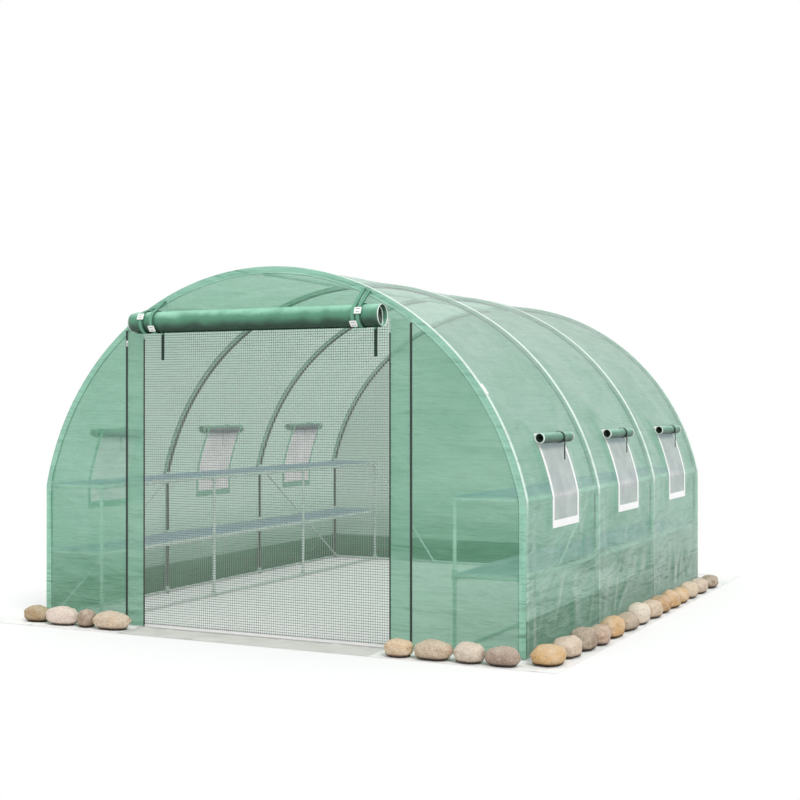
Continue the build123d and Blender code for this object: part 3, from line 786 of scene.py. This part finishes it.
def rolled_sheet(name, node, box, axis, turns, inner, seed, material, steps, rows, tuck,
                 nip=0.0, crease=None):
    """A sheet rolled up round a line along X (0) or Y (1), as one spiral."""
    low, high = box
    start, end = low[axis], high[axis]
    radius = (high[2] - low[2]) / 2
    side = (low[1 - axis] + high[1 - axis]) / 2
    up = (low[2] + high[2]) / 2
    rng = np.random.default_rng(seed)
    turn = np.linspace(0, 2 * math.pi * turns, int(turns * steps) + 1)
    spiral = radius - (radius - inner) * turn / turn[-1]
    t = np.linspace(start, end, rows)
    T, A = lattice(t, turn)
    tucked = step01((A / (2 * math.pi) - 1.0) / 0.25) * tuck
    tucked = tucked + 0.006 * np.sin(A * 1.3) * (A > 2 * math.pi) * tuck / 0.03
    T = start + tucked + (T - start) * (end - start - 2 * tucked) / (end - start)
    phase = rng.uniform(0, 2 * math.pi, 4)
    share = (T - start) / (end - start)
    wave = np.sin(2 * A + 7 * share + phase[0]) + 0.7 * np.sin(3 * A - 19 * share + phase[1])
    wave += 0.5 * np.sin(A + 43 * share + phase[2]) + 0.3 * np.sin(5 * A + 31 * share + phase[3])
    size = 1 - 0.022 * (0.5 + wave / 5)
    size = size - nip * (1 - step01((T - start) / 0.03))
    if crease is not None:
        size = size - 0.05 * np.exp(-(((T - crease) / 0.014) ** 2)) * (0.55 + 0.45 * np.sin(A + 0.6))
    skins = []
    for inset in (0.0, ROLL_CLOTH):
        r = (spiral[None, :] - inset) * size
        points = np.zeros(T.shape + (3,))
        points[..., axis] = T
        points[..., 1 - axis] = side + r * np.cos(A - math.pi / 2)
        points[..., 2] = up + r * np.sin(A - math.pi / 2)
        skins.append(points)
    loop = np.concatenate([skins[0], skins[1][:, ::-1]], axis=1)
    n = len(turn)
    faces = [grid_faces(rows, 2 * n, wrap=True)]
    j = np.arange(n - 1)
    for row in (0, rows - 1):
        first = row * 2 * n
        faces.append(first + np.stack([j, j + 1, 2 * n - 2 - j, 2 * n - 1 - j], axis=1))
    length = float(np.sum(np.hypot(np.diff(spiral), spiral[1:] * np.diff(turn))))
    cloth = np.concatenate([turn, turn[::-1]]) / turn[-1] * length
    along, wound = lattice(t, cloth)
    sheet = np.stack([along, wound, np.minimum(along - start, end - along)], axis=-1)
    o = make(name, loop.reshape(-1, 3), np.concatenate(faces), material,
             sheet=sheet.reshape(-1, 3), closed=True)
    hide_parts(node)


rolled_sheet("door_rolled_up", "door_roll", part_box("door_roll"), 0, 7.4, 0.012, 31, roll_film,
             26, 46, 0.03, nip=0.12, crease=middle("door_roll", 0) + 0.02)
for box in solids_of("window_flaps"):
    where = "left" if box[0][0] < 0 else "right"
    bay = int(np.argmin([abs((box[0][1] + box[1][1]) / 2 - b) for b in BAYS]))
    rolled_sheet(f"window_roll_{where}_{BAY_NAMES[bay]}", "window_flaps", box, 1, 4.2, 0.008, 40 + bay,
                 flap_film, 20, 14, 0.012)


# ------ window screens
def window_screen(where, bay):
    """Insect screen in a window opening, a little slack."""
    s = np.linspace(SILL_S, HEAD_S, 28)
    y = np.linspace(BAYS[bay] - WIN_HALF, BAYS[bay] + WIN_HALF, 24)
    S, Y = lattice(s, y)
    x, z, nx, nz = profile(S)
    room = np.minimum.reduce([S - SILL_S, HEAD_S - S, WIN_HALF - np.abs(Y - BAYS[bay])])
    span = ((SILL_S, HEAD_S), (y[0], y[-1]))
    d = folds(S, Y, 50 + bay, 12, span, (0.1, 0.3), (0.02, 0.04), (0.0008, 0.002))
    d = (d - 0.002) * step01(room / 0.05)
    x, nx = (x, nx) if where == "left" else (-x, -nx)
    points = np.stack([x + nx * d, Y, z + nz * d], axis=-1)
    sheet = np.stack([Y, S, HEAD_S - S], axis=-1)
    o = surface(f"window_screen_{where}_{BAY_NAMES[bay]}", points, sheet, screen_cloth)
    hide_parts("window_screens")


for where in ("left", "right"):
    for bay in range(len(BAYS)):
        window_screen(where, bay)


# ------ netting
def strands(paths, a, b, way):
    """Four-sided threads along paths (count, points, 3), with half-widths a and b as vectors."""
    count, n = paths.shape[:2]
    a, b = np.array(a, float), np.array(b, float)
    corners = np.stack([-a - b, a - b, a + b, b - a])
    points = (paths[:, :, None, :] + corners).reshape(-1, 3)
    first = (np.arange(count)[:, None] * n + np.arange(n - 1)[None]).ravel() * 4
    faces = [np.stack([first + j, first + (j + 1) % 4, first + 4 + (j + 1) % 4, first + 4 + j], 1)
             for j in range(4)]
    head = np.arange(count) * n * 4
    tail = head + (n - 1) * 4
    faces.append(np.stack([head + 3, head + 2, head + 1, head], 1))
    faces.append(np.stack([tail, tail + 1, tail + 2, tail + 3], 1))
    marks = np.stack([points[:, 0], points[:, 2] + points[:, 1], np.full(len(points), float(way))], 1)
    return points, np.concatenate(faces), marks


def thread_piece(name, groups, material):
    points, faces = join([(p, f) for p, f, _ in groups])
    sheet = np.concatenate([marks for _, _, marks in groups])
    return make(name, points, faces, material, smooth=False, sheet=sheet)


def crossed(low, high, axes, inset, end, samples, pitch, width, depth, points):
    """Two groups of threads that cross over a box's two axes. points(u, v) places them."""
    u0, u1, v0, v1 = [corner[axis] for axis in axes for corner in (low, high)]
    one, other, out = [np.eye(3)[axis] for axis in (*axes, 3 - sum(axes))]
    u = np.linspace(u0 + inset, u1 - inset, int((u1 - u0) / pitch))
    U, V = lattice(u, np.linspace(v0 + inset, v1 - inset, samples[0]))
    first = strands(points(U, V), one * width / 2, out * depth / 2, 0)
    v = np.linspace(v0 + inset, v1 - inset, int((v1 - v0) / pitch))
    V, U = lattice(v, np.linspace(u0 + end, u1 - end, samples[1]))
    return [first, strands(points(U, V), other * width / 2, out * depth / 2, 1)]


THREAD_PITCH, THREAD_WIDTH, THREAD_DEPTH = 0.0135, 0.0024, 0.0009
HEM_HEIGHT = 0.012


def mesh_door():
    """Open netting of crossed threads, a little slack, with a white hem along its foot."""
    low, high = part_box("mesh_door")
    plane = (low.y + high.y) / 2

    def slack(x, z):
        room = np.minimum.reduce([x - low.x, high.x - x, z - low.z, high.z - z])
        span = ((low.x, high.x), (low.z, high.z))
        wave = folds(x, z, 61, 26, span, (0.3, 0.9), (0.05, 0.14), (0.001, 0.004))
        return np.stack([x, plane + wave * step01(room / 0.1), z], -1)

    threads = crossed(low, high, (0, 2), 0.004, 0.002, (16, 16),
                      THREAD_PITCH, THREAD_WIDTH, THREAD_DEPTH, slack)
    o = thread_piece("door_netting", threads, door_thread)
    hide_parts("mesh_door")
    x = np.linspace(low.x + 0.001, high.x - 0.001, 24)
    line = np.stack([x, np.full_like(x, plane - 0.0012), np.full_like(x, low.z + HEM_HEIGHT / 2)], -1)
    hem = strands(line[None], (0, 0, HEM_HEIGHT / 2), (0, 0.001, 0), 0)
    h = thread_piece("door_netting_hem", [hem], white_tape)


mesh_door()

NET_PITCH, NET_WIDTH, NET_DEPTH = 0.024, 0.0044, 0.0016
NET_SAG = 0.012
LACING_STEP = 0.075
RING_STEPS, CORD_SIDES = 12, 5


def shelf_net(side, level):
    """Netting laid on a shelf frame, sagging a little in each bay."""
    low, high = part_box(f"shelf_net_{side}_{level}")
    top = (low.z + high.z) / 2

    def sag(x, y):
        across = np.clip((x - low.x) / (high.x - low.x), 0, 1)
        down = NET_SAG * np.sin(math.pi * bay_share(y)) ** 2 * np.sin(math.pi * across)
        return np.stack([x, y, top - down], -1)

    threads = crossed(low, high, (0, 1), 0.003, 0.001, (56, 8), NET_PITCH, NET_WIDTH, NET_DEPTH, sag)
    o = thread_piece(f"shelf_netting_{side}_{level}", threads, shelf_thread)
    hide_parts(f"shelf_net_{side}_{level}")


def rings(centres, along, wide=0.0118, tall=0.0135, cord=0.0019, tilt=0.012):
    """Loops of cord round tubes that run along X (0) or Y (1)."""
    major = 2 * math.pi * np.arange(RING_STEPS) / RING_STEPS
    minor = 2 * math.pi * np.arange(CORD_SIDES) / CORD_SIDES
    axis, flat, up = np.eye(3)[along], np.eye(3)[1 - along], np.eye(3)[2]
    radial = np.cos(major)[:, None] * flat + np.sin(major)[:, None] * up
    line = np.cos(major)[:, None] * (wide * flat + tilt * axis) + np.sin(major)[:, None] * tall * up
    tube = np.cos(minor)[None, :, None] * radial[:, None] + np.sin(minor)[None, :, None] * axis
    shape = line[:, None] + cord * tube
    points = (np.asarray(centres)[:, None, None] + shape[None]).reshape(-1, 3)
    k, i, j = lattice(np.arange(len(centres)), np.arange(RING_STEPS), np.arange(CORD_SIDES))
    k, i, j = k.ravel() * RING_STEPS * CORD_SIDES, i.ravel() * CORD_SIDES, j.ravel()
    i2, j2 = (i + CORD_SIDES) % (RING_STEPS * CORD_SIDES), (j + 1) % CORD_SIDES
    return points, np.stack([k + i + j, k + i2 + j, k + i2 + j2, k + i + j2], 1)


def shelf_lacing(side, level):
    """Cord that ties the netting to the frame, in loops along its rails and cross bars."""
    low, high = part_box(f"shelf_frame_{side}_{level}")
    z = (low.z + high.z) / 2 + 0.0015
    rails = (low.x + RAIL_RADIUS, high.x - RAIL_RADIUS)
    clear = 0.05
    along_y, along_x = [], []
    for a, b in zip(HOOPS, HOOPS[1:]):
        for y in np.arange(a + clear, b - clear, LACING_STEP):
            along_y += [(x, y, z) for x in rails]
    for y in HOOPS:
        along_x += [(x, y, z) for x in np.arange(rails[0] + clear, rails[1] - clear, LACING_STEP)]
    points, faces = join([rings(along_y, 1), rings(along_x, 0)])
    make(f"shelf_lacing_{side}_{level}", points, faces, lacing_cord,
         sheet=np.zeros_like(points), closed=True)


for side in ("left", "right"):
    for level in ("lower", "upper"):
        shelf_net(side, level)
        shelf_lacing(side, level)


# ------ buckles and the zip pull
BUCKLE_X = (-0.0195, -0.0125, 0.0125, 0.0195)
BUCKLE_Y = (-0.0175, -0.0108, -0.0066, 0.0066, 0.0108, 0.0175)
BUCKLE_THICK = 0.006
PULL_X, PULL_Y = (-0.006, -0.0025, 0.0025, 0.006), (-0.016, -0.012, 0.006, 0.012, 0.016)


def plate(xs, ys, holes, thick):
    """A flat plate of cells with some left open, centred on the origin, its back on z = 0."""
    b = bmesh.new()
    grid = [[b.verts.new((x, y, 0)) for y in ys] for x in xs]
    for i in range(len(xs) - 1):
        for j in range(len(ys) - 1):
            if (i, j) not in holes:
                b.faces.new((grid[i][j], grid[i + 1][j], grid[i + 1][j + 1], grid[i][j + 1]))
    top = bmesh.ops.extrude_face_region(b, geom=b.faces[:])
    for v in top["geom"]:
        if isinstance(v, bmesh.types.BMVert):
            v.co.z += thick
    bmesh.ops.recalc_face_normals(b, faces=b.faces)
    corners = [e for e in b.edges if len(e.link_faces) == 2 and e.calc_face_angle(0) > 0.5]
    bmesh.ops.bevel(b, geom=corners, offset=0.0011, segments=2, profile=0.6, affect="EDGES")
    return b


def place(b, name, origin, outward):
    """A small piece of white plastic, upright, with its face turned outward."""
    right = Vector((1, 0, 0))
    turn = Matrix((right, outward.cross(right), outward)).transposed().to_4x4()
    b.transform(Matrix.Translation(origin) @ turn)
    mesh = bpy.data.meshes.new(name)
    b.to_mesh(mesh)
    b.free()
    return add(name, mesh, white_plastic)


roll_axis = Vector((0, middle("door_roll", 1), middle("door_roll", 2)))
for index, (low, high) in enumerate(solids_of("strap_buckles")):
    centre = Vector((low + high) / 2)
    outward = Vector((0, centre.y - roll_axis.y, centre.z - roll_axis.z)).normalized()
    body = plate(BUCKLE_X, BUCKLE_Y, {(1, 1), (1, 3)}, BUCKLE_THICK)
    buckle = place(body, f"buckle_{index + 1}", centre - outward * BUCKLE_THICK / 2, outward)
    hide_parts("strap_buckles")
pull = plate(PULL_X, PULL_Y, {(1, 1)}, 0.003)
place(pull, "zip_pull", Vector((ZIP_L + 0.006, -HALF_L - 0.004, 1.6)), Vector((0, -1, 0)))


# ------ stones
BALL_CELLS = 11
STONE_HEIGHT = 0.95     # of the block that stands for the stone
STONE_FOOT = 0.74       # share of the half height below which a stone is flattened
TONES = [lin(*tone) for tone in (
    (226, 186, 132), (222, 200, 178), (168, 148, 128), (218, 178, 128), (236, 222, 204),
    (206, 164, 116), (196, 166, 144), (176, 156, 132), (226, 206, 178), (216, 192, 166))]
FRONT_TONES = [lin(*tone) for tone in (
    (186, 160, 120), (236, 218, 206), (172, 150, 130), (226, 202, 176),
    (226, 196, 160), (206, 182, 154), (222, 206, 188), (176, 154, 138))]


def ball(cells):
    """A sphere made from a cube's six grids."""
    steps = np.tan(np.linspace(-math.pi / 4, math.pi / 4, cells + 1))
    a, b = lattice(steps, steps)
    one = np.ones_like(a)
    sides = [(a, b, one), (b, a, -one), (one, a, b), (-one, b, a), (b, one, a), (a, -one, b)]
    points = np.concatenate([np.stack(side, -1).reshape(-1, 3) for side in sides])
    faces = np.concatenate([grid_faces(cells + 1, cells + 1) + k * (cells + 1) ** 2 for k in range(6)])
    points /= np.linalg.norm(points, axis=1)[:, None]
    _, first, index = np.unique(np.round(points, 5), axis=0, return_index=True, return_inverse=True)
    return points[first], index.ravel()[faces]


BALL = ball(BALL_CELLS)


def cobble(low, high, rng):
    """A rounded block with soft lobes, fitted to its CAD solid and flattened underneath."""
    direction, faces = BALL
    power = rng.uniform(2.15, 2.5)
    size = (np.abs(direction) ** power).sum(1) ** (-1 / power)
    for index in range(12):
        lobe = rng.normal(size=3)
        lobe /= np.linalg.norm(lobe)
        swing = rng.uniform(1.2, 2.6 + 0.35 * index) * math.pi * (direction @ lobe) + rng.uniform(0, 6.28)
        size = size * (1 + rng.uniform(0.006, 0.034) / (1 + 0.12 * index) * np.cos(swing))
    points = direction * size[:, None]
    turn = rng.uniform(-0.10, 0.10)
    half = (high - low) / 2 * np.array([0.985, 0.985, STONE_HEIGHT])
    points = points / np.abs(points).max(0) * half
    c, s = math.cos(turn), math.sin(turn)
    x, y, z = points.T
    x, y = x * c - y * s, x * s + y * c
    foot = -STONE_FOOT * half[2]
    z = np.where(z < foot, foot + (z - foot) * 0.12, z)
    points = np.stack([x, y, z - z.min() + low[2] + 0.0003], 1)
    points[:, :2] += ((low + high) / 2)[:2]
    return points, faces


def stone_row(node, tones, seed):
    """One piece for a row of stones. Gives back their boxes."""
    rng = np.random.default_rng(seed)
    parts, tints = [], []
    boxes = solids_of(node)
    for index, (low, high) in enumerate(boxes):
        points, faces = cobble(low, high, rng)
        tone = np.array(tones[index % len(tones)])
        tone[:3] *= rng.uniform(1.08, 1.26)
        parts.append((points, faces))
        tints.append(np.repeat(tone[None], len(points), 0))
    points, faces = join(parts)
    o = make(node.replace("stones", "cobbles"), points, faces, cobble_stone,
             tint=np.concatenate(tints), closed=True)
    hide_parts(node)
    return boxes


STONES = stone_row("stones_front", FRONT_TONES, 71)
STONES += stone_row("stones_right", TONES, 72)
STONES += stone_row("stones_left", TONES[3:] + TONES[:3], 73)
STONES += stone_row("stones_rear", TONES[5:] + TONES[:5], 74)


# ------ skirt and sill
OUT_W, OUT_L = HALF_W + SKIRT, HALF_L + SKIRT


def ground_sheet(name, x0, x1, y0, y1, seed, node="skirt", material=skirt_cloth):
    """A strip lying on the ground, wrinkled where no stone holds it down."""
    x = np.linspace(x0, x1, max(3, int((x1 - x0) / GROUND_STEP)))
    y = np.linspace(y0, y1, max(3, int((y1 - y0) / GROUND_STEP)))
    X, Y = lattice(x, y)
    d = folds(X, Y, seed, 70, ((x0, x1), (y0, y1)), (0.08, 0.3), (0.008, 0.02), (0.002, 0.006))
    d = np.clip(d, 0, 0.007)
    for low, high in STONES:
        out = np.maximum.reduce([low[0] - X, X - high[0], low[1] - Y, Y - high[1]])
        d = d * step01((out + 0.02) / 0.03)
    wall = np.maximum(np.abs(X) - HALF_W, np.abs(Y) - HALF_L)
    d = d * step01(wall / 0.03)
    points = np.stack([X, Y, FILM / 2 + d], -1)
    rim = np.minimum(OUT_W - np.abs(X), OUT_L - np.abs(Y))
    o = surface(name, points, np.stack([X, Y, rim], -1), material)
    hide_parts(node)


ground_sheet("skirt_left", -OUT_W, -HALF_W, -OUT_L, OUT_L, 81)
ground_sheet("skirt_right", HALF_W, OUT_W, -OUT_L, OUT_L, 82)
ground_sheet("skirt_rear", -HALF_W, HALF_W, HALF_L, OUT_L, 83)
ground_sheet("skirt_front_left", -HALF_W, MESH_L, -OUT_L, -HALF_L, 84)
ground_sheet("skirt_front_right", MESH_R, HALF_W, -OUT_L, -HALF_L, 85)
ground_sheet("sill", MESH_L, MESH_R, -OUT_L, -HALF_L, 86, "sill_flap", sill_cloth)


# ------ CAD nodes that stay
def paint(material, *starts):
    """Give a material to the nodes whose names start so."""
    for name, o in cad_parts.items():
        if name.startswith(starts):
            o.data.materials.clear()
            o.data.materials.append(material)


paint(white_tape, "window_tapes")
paint(webbing, "roll_straps")
paint(black_cord, "window_ties")
paint(white_plastic, "cover_clip")
paint(black_zip, "door_zips")
paint(zinc, "ridge_clamps", "base_fittings", "shelf_fittings", "shoulder_fittings")
paint(hoop_steel_shaded_inside, "hoop_middle", "hoop_rear")
paint(front_steel_lit, "hoop_front")
paint(brace_steel_lit, "rear_braces", "side_braces", "base_bars", "base_rails")
paint(rail_steel_lit, "ridge_tube", "shelf_frame", "shelf_posts")
